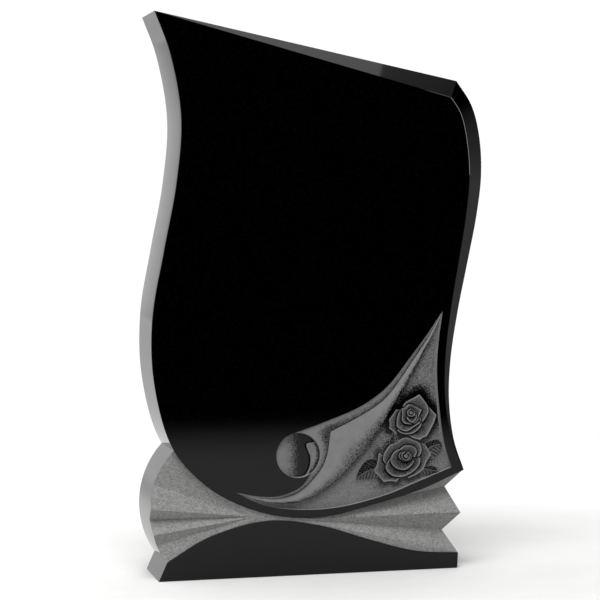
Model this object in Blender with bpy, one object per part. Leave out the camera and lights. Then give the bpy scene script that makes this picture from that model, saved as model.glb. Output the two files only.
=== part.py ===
"""A headstone carved from one block of black granite, standing on its own base.

The block is as thick as the slab it was sawn from. Its front is one plane: a sail-shaped tablet above, a
low arched base below, and between them a band that narrows to a neck and spreads into a fluted fan on
each side. The tablet has a wide chamfer along the top and the right side, a steep bevel on the left, and
a sunk corner carved with a turned-back sheet, two roses and their leaves.

The plane of the front is x (to the right) and z (up). Depth is measured from the front plane into the
stone. Free curves keep their pose as shares of the stone's height.
"""
import math

import bmesh
import bpy
from mathutils import Vector
from mathutils.geometry import delaunay_2d_cdt

# Main sizes, in metres
HEIGHT = 1.000
THICKNESS = 0.131

# The tablet's chamfer: its full width, and the heights between which it fades out down the right side
CHAMFER_WIDTH = 0.0365
CHAMFER_FADE_TOP = 0.78 * HEIGHT
CHAMFER_FADE_POWER = 0.85

# The steep bevel down the left side: its width on the front, its depth along the side, and its ends
SIDE_BEVEL_WIDTH = 0.0018
SIDE_BEVEL_DEPTH = 0.018
SIDE_BEVEL_LOW = 0.46 * HEIGHT
SIDE_BEVEL_HIGH = 0.95 * HEIGHT
SIDE_BEVEL_FADE = 0.5

# The fluted band
BAND_RECESS = 0.003
FLUTE_DEPTH = 0.018
FAN_RADIUS = 0.158 * HEIGHT

# The sunk corner: depths of its floor and of what stands on it
FIELD_DEPTH = 0.0080
SHEET_EDGE_DEPTH = 0.0015
CREASE_DEPTH = 0.0045
CURL_DEPTH = 0.0140
LEAF_EDGE_DEPTH = 0.0068
LEAF_RIB_DEPTH = 0.0044
PETAL_STEP = 0.0026
ROSE_RIM_DEPTH = 0.0052
ROSE_TOP_DEPTH = 0.0010

# How finely curves are cut into straight facets
FACET = 0.012 * HEIGHT
FINE_FACET = 0.0055 * HEIGHT
PETAL_FACETS = 60
SAME_POINT = 1e-5
ROUNDING = 5
LEAST_BEVEL = 0.0003
FULL_TURN = 2 * math.pi

# Corners of the stone, as shares of its height
TOP_LEFT = (-0.2808, 1.0000)
TOP_RIGHT = (0.2837, 0.8895)
LOWER_RIGHT = (0.2884, 0.1797)
BASE_TOP_RIGHT = (0.2781, 0.0280)
BASE_FOOT_RIGHT = (0.2765, 0.0000)
BASE_FOOT_LEFT = (-0.2765, 0.0000)
BASE_TOP_LEFT = (-0.2615, 0.0335)

# Free curves of the outline, from one corner to the next
LEFT_AND_UNDERSIDE = [
    TOP_LEFT, (-0.2555, 0.9320), (-0.2360, 0.8170), (-0.2449, 0.7010), (-0.2667, 0.5850),
    (-0.2864, 0.4690), (-0.2840, 0.3520), (-0.2515, 0.2360), (-0.1972, 0.1717), (-0.1357, 0.1330),
    (-0.0583, 0.1080), (0.0268, 0.1039), (0.1222, 0.1240), (0.2045, 0.1460), LOWER_RIGHT,
]
RIGHT_SIDE = [
    LOWER_RIGHT, (0.2706, 0.2351), (0.2627, 0.3080), (0.2669, 0.3816), (0.2819, 0.4688), (0.3015, 0.5560),
    (0.3206, 0.6432), (0.3308, 0.7180), (0.3281, 0.7883), (0.3126, 0.8460), TOP_RIGHT,
]
BASE_ARCH = [
    BASE_TOP_LEFT, (-0.1859, 0.0752), (-0.0816, 0.1003), (0.0166, 0.0882), (0.1223, 0.0548),
    (0.2000, 0.0340), BASE_TOP_RIGHT,
]
FAN_CENTRE = (-0.1321, 0.1222)
RIGHT_TEETH = [BASE_TOP_RIGHT, (0.2528, 0.0682), (0.2832, 0.1008), (0.2582, 0.1477), LOWER_RIGHT]

# Flutes: the neck each fan spreads from, and for each arris or groove the share of the full flute depth
LEFT_NECK = (-0.1038, 0.1084)
RIGHT_NECK = (-0.0204, 0.1007)
LEFT_FLUTE_HEIGHTS = [0.0630, 0.0820, 0.1080, 0.1280, 0.1700, 0.2090]
LEFT_FLUTE_SHARES = [0.00, 0.45, 0.00, 0.80, 0.00, 1.00, 0.50, 0.15]
RIGHT_FLUTE_SHARES = [0.00, 0.95, 0.00, 1.00, 0.10]

# The sunk corner's outline and its turned-back sheet
TIP = (0.2468, 0.4719)
TAIL = (-0.1371, 0.1535)
SUNK_CORNER = (0.2642, 0.1854)
SUNK_RIGHT = [SUNK_CORNER, (0.2498, 0.2339), (0.2400, 0.3039), (0.2360, 0.3650), (0.2397, 0.4215), TIP]
SUNK_UNDER = [
    TAIL, (-0.0878, 0.1296), (-0.0264, 0.1186), (0.0475, 0.1197), (0.1397, 0.1391), (0.2025, 0.1622),
    SUNK_CORNER,
]
CURL_CENTRE = (-0.0233, 0.2160)
CURL_RADIUS = 0.0405 * HEIGHT
CURL_START_ANGLE = math.radians(104)
CURL_END_ANGLE = math.radians(-52)
ROLL_EDGE = [TIP, (0.2202, 0.4334), (0.1877, 0.3912), (0.1393, 0.3334), (0.0928, 0.3016), (0.0300, 0.2765)]
TAIL_EDGE = [(-0.0190, 0.1592), (-0.0586, 0.1442), (-0.0990, 0.1452), TAIL]
CREASE_KINK = (0.0377, 0.2565)
ROLL_CREASE = [TIP, (0.2263, 0.4333), (0.1950, 0.3864), (0.1410, 0.3150), (0.0990, 0.2865), CREASE_KINK]
TAIL_CREASE = [CREASE_KINK, (0.0296, 0.2093), (0.0163, 0.1839), (-0.0264, 0.1466), (-0.0849, 0.1402), TAIL]
SHEET_EDGE = [
    TIP, (0.2275, 0.4287), (0.1914, 0.3633), (0.1602, 0.3110), (0.1085, 0.2321), (0.0475, 0.1684),
    (-0.0117, 0.1346), (-0.0703, 0.1325), TAIL,
]
FLAP = [(0.0112, 0.2386), (-0.0058, 0.2341), (0.0016, 0.2102), (0.0001, 0.1930), (-0.0073, 0.1788)]

# Each rose: its centre, and rows of petals from the outside in. A petal has its direction and its half
# spread in degrees, and its reach from the centre.
LOWER_ROSE_CENTRE = (0.1765, 0.2114)
LOWER_ROSE = [
    [(-1, 52, 0.0500), (-75, 50, 0.0450), (-147, 52, 0.0660), (160, 50, 0.0480), (95, 60, 0.0370)],
    [(72, 85, 0.0340), (-105, 100, 0.0430), (163, 48, 0.0410)],
    [(60, 95, 0.0215), (-135, 120, 0.0300)],
    [(90, 120, 0.0125), (-80, 120, 0.0120)],
]
UPPER_ROSE_CENTRE = (0.1869, 0.2858)
UPPER_ROSE = [
    [(-8, 45, 0.0490), (-62, 42, 0.0530), (-143, 58, 0.0480), (160, 45, 0.0330), (72, 60, 0.0370)],
    [(45, 75, 0.0375), (-102, 90, 0.0385), (165, 60, 0.0260)],
    [(100, 70, 0.0180), (18, 36, 0.0200), (-55, 60, 0.0180), (-150, 80, 0.0205)],
    [(125, 120, 0.0088), (-55, 120, 0.0084)],
]
# A petal falls back this share from its point to its sides, ends this squarely, and its foot stays out
# to this share of its reach over this share of its spread
PETAL_POINT = 0.22
PETAL_SQUARENESS = 5
PETAL_FOOT = 0.62
PETAL_FOOT_SPREAD = 1.2

# Leaves: where each starts, its tip and its half width
LEAVES = [
    ((0.1225, 0.1900), (0.0813, 0.1690), 0.0125),
    ((0.2190, 0.2170), (0.2440, 0.2300), 0.0110),
    ((0.2110, 0.1850), (0.2350, 0.1790), 0.0062),
    ((0.1640, 0.2400), (0.1530, 0.2600), 0.0050),
]

# A leaf is widest nearer its start
LEAF_LEAN = 0.8

# The curl's floor falls away from its left rim along this power
CURL_HOLLOW = 0.7
CURL_RINGS = (0.3, 0.6, 0.85)

GRANITE_SHADE = (0.012, 0.012, 0.013)
GRANITE_ROUGHNESS = 0.18


def full_size(share):
    return (share[0] * HEIGHT, share[1] * HEIGHT)


def between(a, b, t):
    return (a[0] + (b[0] - a[0]) * t, a[1] + (b[1] - a[1]) * t)


def distance(a, b):
    return math.hypot(a[0] - b[0], a[1] - b[1])


def smooth_line(shares, facet=FACET):
    """A smooth curve through a few points, cut into facets of about the given length."""
    knots = [full_size(share) for share in shares]
    before = between(knots[1], knots[0], 2.0)
    after = between(knots[-2], knots[-1], 2.0)
    row = [before] + knots + [after]
    line = [knots[0]]
    for i in range(1, len(row) - 2):
        p0, p1, p2, p3 = row[i - 1:i + 3]
        k0 = math.sqrt(distance(p0, p1))
        k1 = math.sqrt(distance(p1, p2))
        k2 = math.sqrt(distance(p2, p3))
        steps = max(1, round(distance(p1, p2) / facet))
        for step in range(1, steps + 1):
            t = k0 + k1 * step / steps
            a1 = between(p0, p1, t / k0)
            a2 = between(p1, p2, (t - k0) / k1)
            a3 = between(p2, p3, (t - k0 - k1) / k2)
            b1 = between(a1, a2, t / (k0 + k1))
            b2 = between(a2, a3, (t - k0) / (k1 + k2))
            line.append(between(b1, b2, (t - k0) / k1))
        line[-1] = p2
    return line


def inside(point, loop):
    """Whether a point lies in a closed loop, by counting the sides to its right."""
    x, z = point
    odd = False
    for (x0, z0), (x1, z1) in zip(loop, loop[1:] + loop[:1]):
        if (z0 > z) != (z1 > z) and x < x0 + (z - z0) / (z1 - z0) * (x1 - x0):
            odd = not odd
    return odd


def distance_to_line(point, line):
    """The distance from a point to the nearest place on an open line."""
    best = math.inf
    for a, b in zip(line, line[1:]):
        length = distance(a, b)
        along = ((point[0] - a[0]) * (b[0] - a[0]) + (point[1] - a[1]) * (b[1] - a[1])) / length ** 2
        best = min(best, distance(point, between(a, b, min(1.0, max(0.0, along)))))
    return best


def crossing(line, other):
    """The first place where two lines cross, with the number of the side of the first line."""
    for i, (a, b) in enumerate(zip(line, line[1:])):
        for c, d in zip(other, other[1:]):
            turn = (b[0] - a[0]) * (d[1] - c[1]) - (b[1] - a[1]) * (d[0] - c[0])
            if abs(turn) < 1e-12:
                continue
            t = ((c[0] - a[0]) * (d[1] - c[1]) - (c[1] - a[1]) * (d[0] - c[0])) / turn
            u = ((c[0] - a[0]) * (b[1] - a[1]) - (c[1] - a[1]) * (b[0] - a[0])) / turn
            if 0.0 <= t <= 1.0 and 0.0 <= u <= 1.0:
                return i, between(a, b, t)
    raise ValueError("the two lines don't cross")


def offset_line(line, widths, left):
    """A line moved sideways by its own width at each point, to its left or its right."""
    side = 1.0 if left else -1.0
    moved = []
    for i, point in enumerate(line):
        a = line[max(0, i - 1)]
        b = line[min(len(line) - 1, i + 1)]
        length = distance(a, b)
        moved.append((point[0] - side * widths[i] * (b[1] - a[1]) / length,
                      point[1] + side * widths[i] * (b[0] - a[0]) / length))
    return moved


def arc(centre, radius, start, end, facet):
    steps = max(2, round(abs(end - start) * radius / facet))
    angles = [start + (end - start) * i / steps for i in range(steps + 1)]
    return [(centre[0] + radius * math.cos(a), centre[1] + radius * math.sin(a)) for a in angles]


def angle_of(point, centre):
    return math.atan2(point[1] - centre[1], point[0] - centre[0])


# The tablet's left side and underside, cut where the left fan's round end starts
left_and_under = smooth_line(LEFT_AND_UNDERSIDE)
fan_centre = full_size(FAN_CENTRE)
fan_circle = arc(fan_centre, FAN_RADIUS, math.radians(90), math.radians(270), FACET)
cut, fan_top = crossing(left_and_under, fan_circle)
tablet_left = left_and_under[:cut + 1] + [fan_top]
tablet_under = [fan_top] + left_and_under[cut + 1:]

# The left fan's round end runs down to the base's slanted end
past_the_fan = 1.5
base_slope = [full_size(BASE_FOOT_LEFT)]
base_slope.append(between(base_slope[0], full_size(BASE_TOP_LEFT), past_the_fan))
cut, base_top_left = crossing(base_slope, fan_circle)
flute_ends = []
for height in LEFT_FLUTE_HEIGHTS:
    rise = height * HEIGHT - fan_centre[1]
    flute_ends.append((fan_centre[0] - math.sqrt(FAN_RADIUS ** 2 - rise ** 2), height * HEIGHT))
flute_ends = [base_top_left] + flute_ends + [fan_top]
fan_end_line = [base_top_left]
for low, high in zip(flute_ends, flute_ends[1:]):
    low_angle = angle_of(low, fan_centre) % FULL_TURN
    high_angle = angle_of(high, fan_centre) % FULL_TURN
    fan_end_line += arc(fan_centre, FAN_RADIUS, low_angle, high_angle, FACET)[1:-1] + [high]

right_side = smooth_line(RIGHT_SIDE)
right_teeth = [full_size(share) for share in RIGHT_TEETH]
base_arch = [base_top_left] + smooth_line(BASE_ARCH)[1:]
base_foot = [full_size(BASE_FOOT_LEFT), full_size(BASE_FOOT_RIGHT)]
top_left = full_size(TOP_LEFT)
top_right = full_size(TOP_RIGHT)

# The chamfer is as wide as it is deep. It grows from nothing at the top left to full width at the top
# right, and fades out again to nothing at the lower right.
corner_height = LOWER_RIGHT[1] * HEIGHT
right_widths = []
for point in right_side:
    share = (point[1] - corner_height) / (CHAMFER_FADE_TOP - corner_height)
    right_widths.append(CHAMFER_WIDTH * min(1.0, max(0.0, share)) ** CHAMFER_FADE_POWER)
chamfer_right = offset_line(right_side, right_widths, left=True)
top_slope = offset_line([top_left, top_right], [0.0, CHAMFER_WIDTH], left=False)
past_the_corner = 1.1
top_slope[1] = between(top_slope[0], top_slope[1], past_the_corner)
cut, chamfer_corner = crossing(chamfer_right, top_slope)
chamfer_right = chamfer_right[:cut + 1] + [chamfer_corner]

left_widths = []
for point in tablet_left:
    share = (point[1] - SIDE_BEVEL_LOW) / (SIDE_BEVEL_HIGH - SIDE_BEVEL_LOW)
    left_widths.append(max(0.0, math.sin(math.pi * min(1.0, max(0.0, share)))) ** SIDE_BEVEL_FADE)
left_widths = [SIDE_BEVEL_WIDTH * width for width in left_widths]
left_widths = [width if width > LEAST_BEVEL else 0.0 for width in left_widths]
left_depths = [width * SIDE_BEVEL_DEPTH / SIDE_BEVEL_WIDTH for width in left_widths]
bevel_left = offset_line(tablet_left, left_widths, left=True)

edge_depths = {}
for line, line_depths in ((right_side, right_widths), (tablet_left, left_depths)):
    for point, depth in zip(line, line_depths):
        edge_depths[(round(point[0], ROUNDING), round(point[1], ROUNDING))] = depth

outline = tablet_left[:-1] + fan_end_line[::-1] + base_foot + right_teeth[:-1] + right_side
tablet_outer = tablet_left[:-1] + tablet_under[:-1] + right_side
tablet_front = bevel_left[:-1] + tablet_under[:-1] + chamfer_right
base_front = base_arch + base_foot[::-1]

# The sunk corner
curl_centre = full_size(CURL_CENTRE)
curl_rest = arc(curl_centre, CURL_RADIUS, CURL_END_ANGLE, CURL_START_ANGLE, FINE_FACET)
curl_far = arc(curl_centre, CURL_RADIUS, CURL_START_ANGLE, CURL_END_ANGLE + FULL_TURN, FINE_FACET)
curl_loop = curl_far[:-1] + curl_rest[:-1]
curl_end = (curl_rest[0][0] / HEIGHT, curl_rest[0][1] / HEIGHT)
curl_start = (curl_far[0][0] / HEIGHT, curl_far[0][1] / HEIGHT)
roll_edge = smooth_line(ROLL_EDGE + [curl_start], FACET)
tail_edge = smooth_line([curl_end] + TAIL_EDGE, FACET)
roll_crease = smooth_line(ROLL_CREASE, FACET) + smooth_line(TAIL_CREASE, FACET)[1:]
sheet_edge = smooth_line(SHEET_EDGE, FACET)
sunk_right = smooth_line(SUNK_RIGHT, FACET)
sunk_under = smooth_line(SUNK_UNDER, FACET)
strip_outer = roll_edge + curl_rest[::-1][1:] + tail_edge[1:]
strip_loop = strip_outer + roll_crease[::-1][1:-1]
sheet_loop = roll_crease + sheet_edge[::-1][1:-1]
field_loop = sheet_edge[:-1] + sunk_under[:-1] + sunk_right[:-1]
flap_line = smooth_line(FLAP, FINE_FACET)
flap_loop = flap_line + [point for point in curl_rest if point[1] < flap_line[0][1]]


def petal_row(centre, petals):
    """A closed ring of petal rims: at each angle the petal that reaches furthest, each with a slight point."""
    ring = []
    for i in range(PETAL_FACETS):
        angle = 360.0 * i / PETAL_FACETS
        reach = 0.0
        for direction, spread, length in petals:
            off = abs((angle - direction + 180.0) % 360.0 - 180.0) / spread
            drawn = 1.0 - PETAL_POINT * off - (1.0 - PETAL_POINT) * off ** PETAL_SQUARENESS
            reach = max(reach, length * drawn)
            if off < PETAL_FOOT_SPREAD:
                reach = max(reach, length * PETAL_FOOT)
        ring.append((centre[0] + reach * HEIGHT * math.cos(math.radians(angle)),
                     centre[1] + reach * HEIGHT * math.sin(math.radians(angle))))
    return ring


class Rose:
    """Rings of petals on a dome: each ring's rim stands above the groove around it."""

    def __init__(self, centre, rows):
        self.centre = full_size(centre)
        self.rings = [petal_row(self.centre, row) for row in rows]
        fall = (ROSE_RIM_DEPTH - ROSE_TOP_DEPTH) / (len(rows) - 1)
        self.rims = [ROSE_RIM_DEPTH - fall * i for i in range(len(rows))]

    def ring_at(self, point):
        found = None
        for number, ring in enumerate(self.rings):
            if inside(point, ring):
                found = number
        return found

    def depth(self, point, number):
        """On its own rim a ring is at rim depth; where the next ring covers it, one petal step lower."""
        rim = self.rims[number]
        outer = distance_to_line(point, self.rings[number] + self.rings[number][:1])
        if number + 1 == len(self.rings):
            return rim + PETAL_STEP * min(1.0, outer / distance(self.centre, self.rings[number][0]))
        inner = distance_to_line(point, self.rings[number + 1] + self.rings[number + 1][:1])
        groove = self.rims[number + 1] + PETAL_STEP
        return rim + (groove - rim) * outer / max(outer + inner, SAME_POINT)


class Leaf:
    """A pointed leaf with a raised rib."""

    def __init__(self, start, tip, half_width):
        a = full_size(start)
        b = full_size(tip)
        length = distance(a, b)
        across = (-(b[1] - a[1]) / length, (b[0] - a[0]) / length)
        upper = []
        lower = []
        steps = max(6, round(length / FINE_FACET))
        for i in range(1, steps):
            t = i / steps
            swell = half_width * HEIGHT * math.sin(math.pi * t ** LEAF_LEAN)
            middle = between(a, b, t)
            upper.append((middle[0] + across[0] * swell, middle[1] + across[1] * swell))
            lower.append((middle[0] - across[0] * swell, middle[1] - across[1] * swell))
        self.rib = [a, b]
        self.loop = [a] + upper + [b] + lower[::-1]

    def depth(self, point):
        rim = distance_to_line(point, self.loop + self.loop[:1])
        rib = distance_to_line(point, self.rib)
        return LEAF_EDGE_DEPTH + (LEAF_RIB_DEPTH - LEAF_EDGE_DEPTH) * rim / max(rim + rib, SAME_POINT)


roses = [Rose(UPPER_ROSE_CENTRE, UPPER_ROSE), Rose(LOWER_ROSE_CENTRE, LOWER_ROSE)]
leaves = [Leaf(*leaf) for leaf in LEAVES]


def flute_depth(point):
    """The band's depth: flutes that deepen from the neck to the fan's end, between straight arrises."""
    depth = BAND_RECESS
    fans = (
        (full_size(LEFT_NECK), flute_ends, LEFT_FLUTE_SHARES, -1.0),
        (full_size(RIGHT_NECK), right_teeth, RIGHT_FLUTE_SHARES, 1.0),
    )
    for neck, ends, shares, side in fans:
        run = side * (point[0] - neck[0])
        if run <= 0.0:
            continue
        slope = (point[1] - neck[1]) / run
        slopes = [(end[1] - neck[1]) / (side * (end[0] - neck[0])) for end in ends]
        runs = [side * (end[0] - neck[0]) for end in ends]
        slope = min(slopes[-1], max(slopes[0], slope))
        for i in range(len(ends) - 1):
            if slope <= slopes[i + 1]:
                t = (slope - slopes[i]) / (slopes[i + 1] - slopes[i])
                share = shares[i] + (shares[i + 1] - shares[i]) * t
                reach = runs[i] + (runs[i + 1] - runs[i]) * t
                depth += FLUTE_DEPTH * share * min(1.0, run / reach)
                break
    return depth


def area_of(point):
    """The name of the part of the front that a point lies in, with a number within it."""
    if not inside(point, outline):
        return None
    if inside(point, base_front):
        return ("base", 0)
    if not inside(point, tablet_outer):
        return ("band", 0)
    if not inside(point, tablet_front):
        return ("chamfer", 0)
    for number in reversed(range(len(roses))):
        ring = roses[number].ring_at(point)
        if ring is not None and inside(point, field_loop):
            return ("rose", (number, ring))
    if inside(point, field_loop):
        for number, leaf in enumerate(leaves):
            if inside(point, leaf.loop):
                return ("leaf", number)
        return ("field", 0)
    if inside(point, sheet_loop):
        return ("sheet", 0)
    if inside(point, curl_loop):
        return ("flap", 0) if inside(point, flap_loop) else ("curl", 0)
    if inside(point, strip_loop):
        return ("strip", 0)
    return ("tablet", 0)


def depth_at(point, area):
    """How deep the surface of one area lies at a point of the front."""
    kind, number = area
    if kind in ("tablet", "base"):
        return 0.0
    if kind == "band":
        return flute_depth(point)
    if kind == "chamfer":
        return edge_depths.get((round(point[0], ROUNDING), round(point[1], ROUNDING)), 0.0)
    if kind == "strip":
        outer = distance_to_line(point, strip_outer)
        crease = distance_to_line(point, roll_crease)
        return SHEET_EDGE_DEPTH + (CREASE_DEPTH - SHEET_EDGE_DEPTH) * outer / max(outer + crease, SAME_POINT)
    if kind == "sheet":
        crease = distance_to_line(point, roll_crease)
        edge = distance_to_line(point, sheet_edge)
        return CREASE_DEPTH + (SHEET_EDGE_DEPTH - CREASE_DEPTH) * crease / max(crease + edge, SAME_POINT)
    if kind == "curl":
        across = (point[0] - curl_centre[0] + CURL_RADIUS) / (2 * CURL_RADIUS)
        return SHEET_EDGE_DEPTH + (CURL_DEPTH - SHEET_EDGE_DEPTH) * min(1.0, max(0.0, across)) ** CURL_HOLLOW
    if kind == "flap":
        return CREASE_DEPTH * (1.0 + distance_to_line(point, curl_rest) / (2 * CURL_RADIUS))
    if kind == "leaf":
        return leaves[number].depth(point)
    if kind == "rose":
        return roses[number[0]].depth(point, number[1])
    return FIELD_DEPTH


def front_lines():
    """Every line that the front's facets must follow, each with whether it is closed."""
    lines = [(outline, True), (tablet_under, False), (base_arch, False)]
    lines += [(bevel_left, False), (chamfer_right, False), ([top_left, chamfer_corner, top_right], False)]
    neck = full_size(LEFT_NECK)
    lines += [([neck, end], False) for end in flute_ends[1:-1]]
    neck = full_size(RIGHT_NECK)
    lines += [([neck, end], False) for end in right_teeth[1:-1]]
    lines += [(roll_edge, False), (tail_edge, False), (roll_crease, False), (sheet_edge, False)]
    lines += [(sunk_right, False), (sunk_under, False), (curl_loop, True), (flap_line, False)]
    for rose in roses:
        lines += [(ring, True) for ring in rose.rings]
    for leaf in leaves:
        lines += [(leaf.loop, True), (leaf.rib, False)]
    return lines


def loose_points():
    """Points inside the curl and at each rose's heart, where the surface bends between the lines."""
    points = [rose.centre for rose in roses]
    for share in CURL_RINGS:
        points += arc(curl_centre, CURL_RADIUS * share, 0.0, FULL_TURN, FACET)[:-1]
    return points


def triangulate_front():
    """All lines of the front cut into one net of triangles, each with the area it lies in."""
    points = []
    numbers = {}
    sides = set()

    def number_of(point):
        key = (round(point[0], ROUNDING), round(point[1], ROUNDING))
        if key not in numbers:
            numbers[key] = len(points)
            points.append(Vector(key))
        return numbers[key]

    for line, closed in front_lines():
        row = [number_of(point) for point in line]
        if closed:
            row.append(row[0])
        sides |= {(min(a, b), max(a, b)) for a, b in zip(row, row[1:]) if a != b}
    for point in loose_points():
        number_of(point)
    net, _, triangles, _, _, _ = delaunay_2d_cdt(points, sorted(sides), [], 0, 1e-7)
    flat = [(point[0], point[1]) for point in net]
    pieces = []
    for corners in triangles:
        middle = (sum(flat[i][0] for i in corners) / 3, sum(flat[i][1] for i in corners) / 3)
        area = area_of(middle)
        if area is not None:
            pieces.append((tuple(corners), area))
    return flat, pieces


def build_block():
    """The closed block: front facets at their depths, small walls between areas, the back and the sides."""
    flat, pieces = triangulate_front()
    depths = {}
    for corners, area in pieces:
        for i in corners:
            if (i, area) not in depths:
                depths[(i, area)] = round(depth_at(flat[i], area), 6)
    levels = {}
    for (i, area), depth in depths.items():
        levels.setdefault(i, set()).add(depth)

    corners_3d = []
    numbers = {}
    faces = []

    def corner(i, depth):
        if (i, depth) not in numbers:
            numbers[(i, depth)] = len(corners_3d)
            corners_3d.append((flat[i][0], depth, flat[i][1]))
        return numbers[(i, depth)]

    def climb(i, start, end):
        """The corners met going from one depth to another at one point of the front."""
        low, high = min(start, end), max(start, end)
        stops = sorted({d for d in levels[i] if low < d < high} | {low, high})
        if start > end:
            stops.reverse()
        return [corner(i, d) for d in stops]

    def wall(a, b, from_a, from_b, to_a, to_b):
        """Upright facets over the side from a to b, between two depths at each end."""
        first = climb(a, from_a, to_a)
        second = climb(b, from_b, to_b)
        i = j = 0
        while i + 1 < len(first) or j + 1 < len(second):
            if j + 1 >= len(second) or (i + 1 < len(first) and i * len(second) <= j * len(first)):
                faces.append((first[i], first[i + 1], second[j]))
                i += 1
            else:
                faces.append((first[i], second[j + 1], second[j]))
                j += 1

    owners = {}
    for corners, area in pieces:
        a, b, c = corners
        twice = (flat[b][0] - flat[a][0]) * (flat[c][1] - flat[a][1])
        twice -= (flat[b][1] - flat[a][1]) * (flat[c][0] - flat[a][0])
        if twice < 0.0:
            a, b, c = a, c, b
        faces.append(tuple(corner(i, depths[(i, area)]) for i in (a, b, c)))
        faces.append(tuple(corner(i, THICKNESS) for i in (c, b, a)))
        for start, end in ((a, b), (b, c), (c, a)):
            owners.setdefault((min(start, end), max(start, end)), []).append((start, end, area))
    for sides in owners.values():
        start, end, area = sides[0]
        if len(sides) == 1:
            wall(start, end, depths[(start, area)], depths[(end, area)], THICKNESS, THICKNESS)
            continue
        other = sides[1][2]
        if area != other:
            wall(start, end, depths[(start, area)], depths[(end, area)],
                 depths[(start, other)], depths[(end, other)])
    return corners_3d, faces


def remove_everything():
    for item in list(bpy.data.objects):
        bpy.data.objects.remove(item, do_unlink=True)


def granite():
    stone = bpy.data.materials.new("granite_black_polished")
    stone.use_nodes = True
    surface = stone.node_tree.nodes["Principled BSDF"]
    surface.inputs["Base Color"].default_value = (*GRANITE_SHADE, 1.0)
    surface.inputs["Roughness"].default_value = GRANITE_ROUGHNESS
    surface.inputs["Metallic"].default_value = 0.0
    return stone


def make_headstone():
    """The block as one object, centred across and through, with its foot on the ground."""
    corners, faces = build_block()
    middle = (min(c[0] for c in corners) + max(c[0] for c in corners)) / 2
    corners = [(x - middle, y - THICKNESS / 2, z) for x, y, z in corners]
    mesh = bpy.data.meshes.new("headstone")
    mesh.from_pydata(corners, [], faces)
    body = bmesh.new()
    body.from_mesh(mesh)
    bmesh.ops.dissolve_degenerate(body, dist=SAME_POINT, edges=body.edges)
    bmesh.ops.recalc_face_normals(body, faces=body.faces)
    body.to_mesh(mesh)
    body.free()
    mesh.materials.append(granite())
    headstone = bpy.data.objects.new("headstone", mesh)
    bpy.context.scene.collection.objects.link(headstone)
    return headstone


remove_everything()
make_headstone()
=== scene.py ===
"""The black granite headstone dressed for display: polished faces, bush-hammered band, etched corner.

The stone is one block. Its front is a net of triangles that follows every arris, crease and petal rim.
Each area of the net lies at its own depth below the front plane, and small walls between the areas close
the block. In the plane of the front x runs to the right and z up; depth runs into the stone. Points are
drawn in parts of the stone's height, which are tenths of a millimetre on a stone one metre tall.
"""

import math

import bpy
import numpy as np
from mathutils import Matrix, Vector
from mathutils.geometry import delaunay_2d_cdt


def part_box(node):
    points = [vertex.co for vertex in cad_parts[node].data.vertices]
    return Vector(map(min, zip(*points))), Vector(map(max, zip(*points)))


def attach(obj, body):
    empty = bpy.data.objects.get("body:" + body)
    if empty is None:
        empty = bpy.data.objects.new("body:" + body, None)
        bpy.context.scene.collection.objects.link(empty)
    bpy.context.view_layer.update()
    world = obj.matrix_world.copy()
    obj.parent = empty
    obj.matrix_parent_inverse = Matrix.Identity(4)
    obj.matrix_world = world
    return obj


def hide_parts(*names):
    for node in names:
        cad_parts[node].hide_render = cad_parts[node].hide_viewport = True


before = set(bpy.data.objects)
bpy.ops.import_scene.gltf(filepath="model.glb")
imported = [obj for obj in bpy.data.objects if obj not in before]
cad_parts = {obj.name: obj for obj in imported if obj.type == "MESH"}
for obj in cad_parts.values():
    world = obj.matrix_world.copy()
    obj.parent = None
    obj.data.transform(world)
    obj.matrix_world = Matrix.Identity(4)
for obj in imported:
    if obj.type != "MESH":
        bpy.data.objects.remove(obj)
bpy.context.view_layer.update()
stone_low, stone_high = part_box("headstone")

# Main sizes, in metres, taken from the frame
HEIGHT = stone_high.z - stone_low.z
THICKNESS = stone_high.y - stone_low.y
DRAWN_HEIGHT = 10000
MM = 0.001

# Every arris of the polished stone is eased by this much, and the one inside the chamfer by less
ARRIS = 0.8 * MM
SLIGHT_ARRIS = 0.33 * MM
SHARP_ANGLE = math.radians(14)

# The chamfer along the top and the right side
CHAMFER_WIDTH = 36.5 * MM
CHAMFER_FADE_TOP = 0.78 * HEIGHT
CHAMFER_FADE_POWER = 0.85

# The steep bevel down the left side
SIDE_BEVEL_WIDTH = 1.8 * MM
SIDE_BEVEL_DEPTH = 18 * MM
SIDE_BEVEL_LOW = 0.46 * HEIGHT
SIDE_BEVEL_HIGH = 0.95 * HEIGHT
SIDE_BEVEL_FADE = 0.5
LEAST_BEVEL = 0.3 * MM

# The fluted band
BAND_RECESS = 3 * MM
FLUTE_DEPTH = 18 * MM
FAN_RADIUS = 0.158 * HEIGHT
TOOL_MARKS = {"Mark Depth": 0.9 * MM, "Mark Spacing": 3.2 * MM, "Seed": 7.0}

# The sunk corner: depths of its floor and of what stands on it
FIELD_DEPTH = 8.0 * MM
TIP_DEPTH_SHARE = 0.15
TAIL_FADE = 120 * MM
TIP_FADE = 90 * MM
SHEET_EDGE_DEPTH = 1.5 * MM
CREASE_DEPTH = 4.5 * MM
CURL_DEPTH = 14.0 * MM
LEAF_EDGE_DEPTH = 6.8 * MM
LEAF_RIB_DEPTH = 4.4 * MM
PETAL_STEP = 2.2 * MM
PETAL_LIP = 1.6 * MM
LIP_RISE = 0.5 * MM
ROSE_RIM_DEPTH = 5.2 * MM
ROSE_TOP_DEPTH = 1.0 * MM

# Tones of the etching: 0 is left polished and 1 is pecked all over
STRIP_TONE = 0.86
SHEET_TONE = 0.92
CURL_TONE = 0.85
FIELD_TONE = 0.70
# The border's tone is a painted highlight, standing in for the light caught by the sunk corner's outer wall
BORDER_HIGHLIGHT_TONE = 0.95
PETAL_TONE = 0.58
LIP_TONE = 0.36
LEAF_TONE = 0.20
RIB_TONE = 0.60
LEAF_RIM_TONE = 0.55
FLAP_TONE = 0.18
FLAP_RIM_TONE = 0.75

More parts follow.
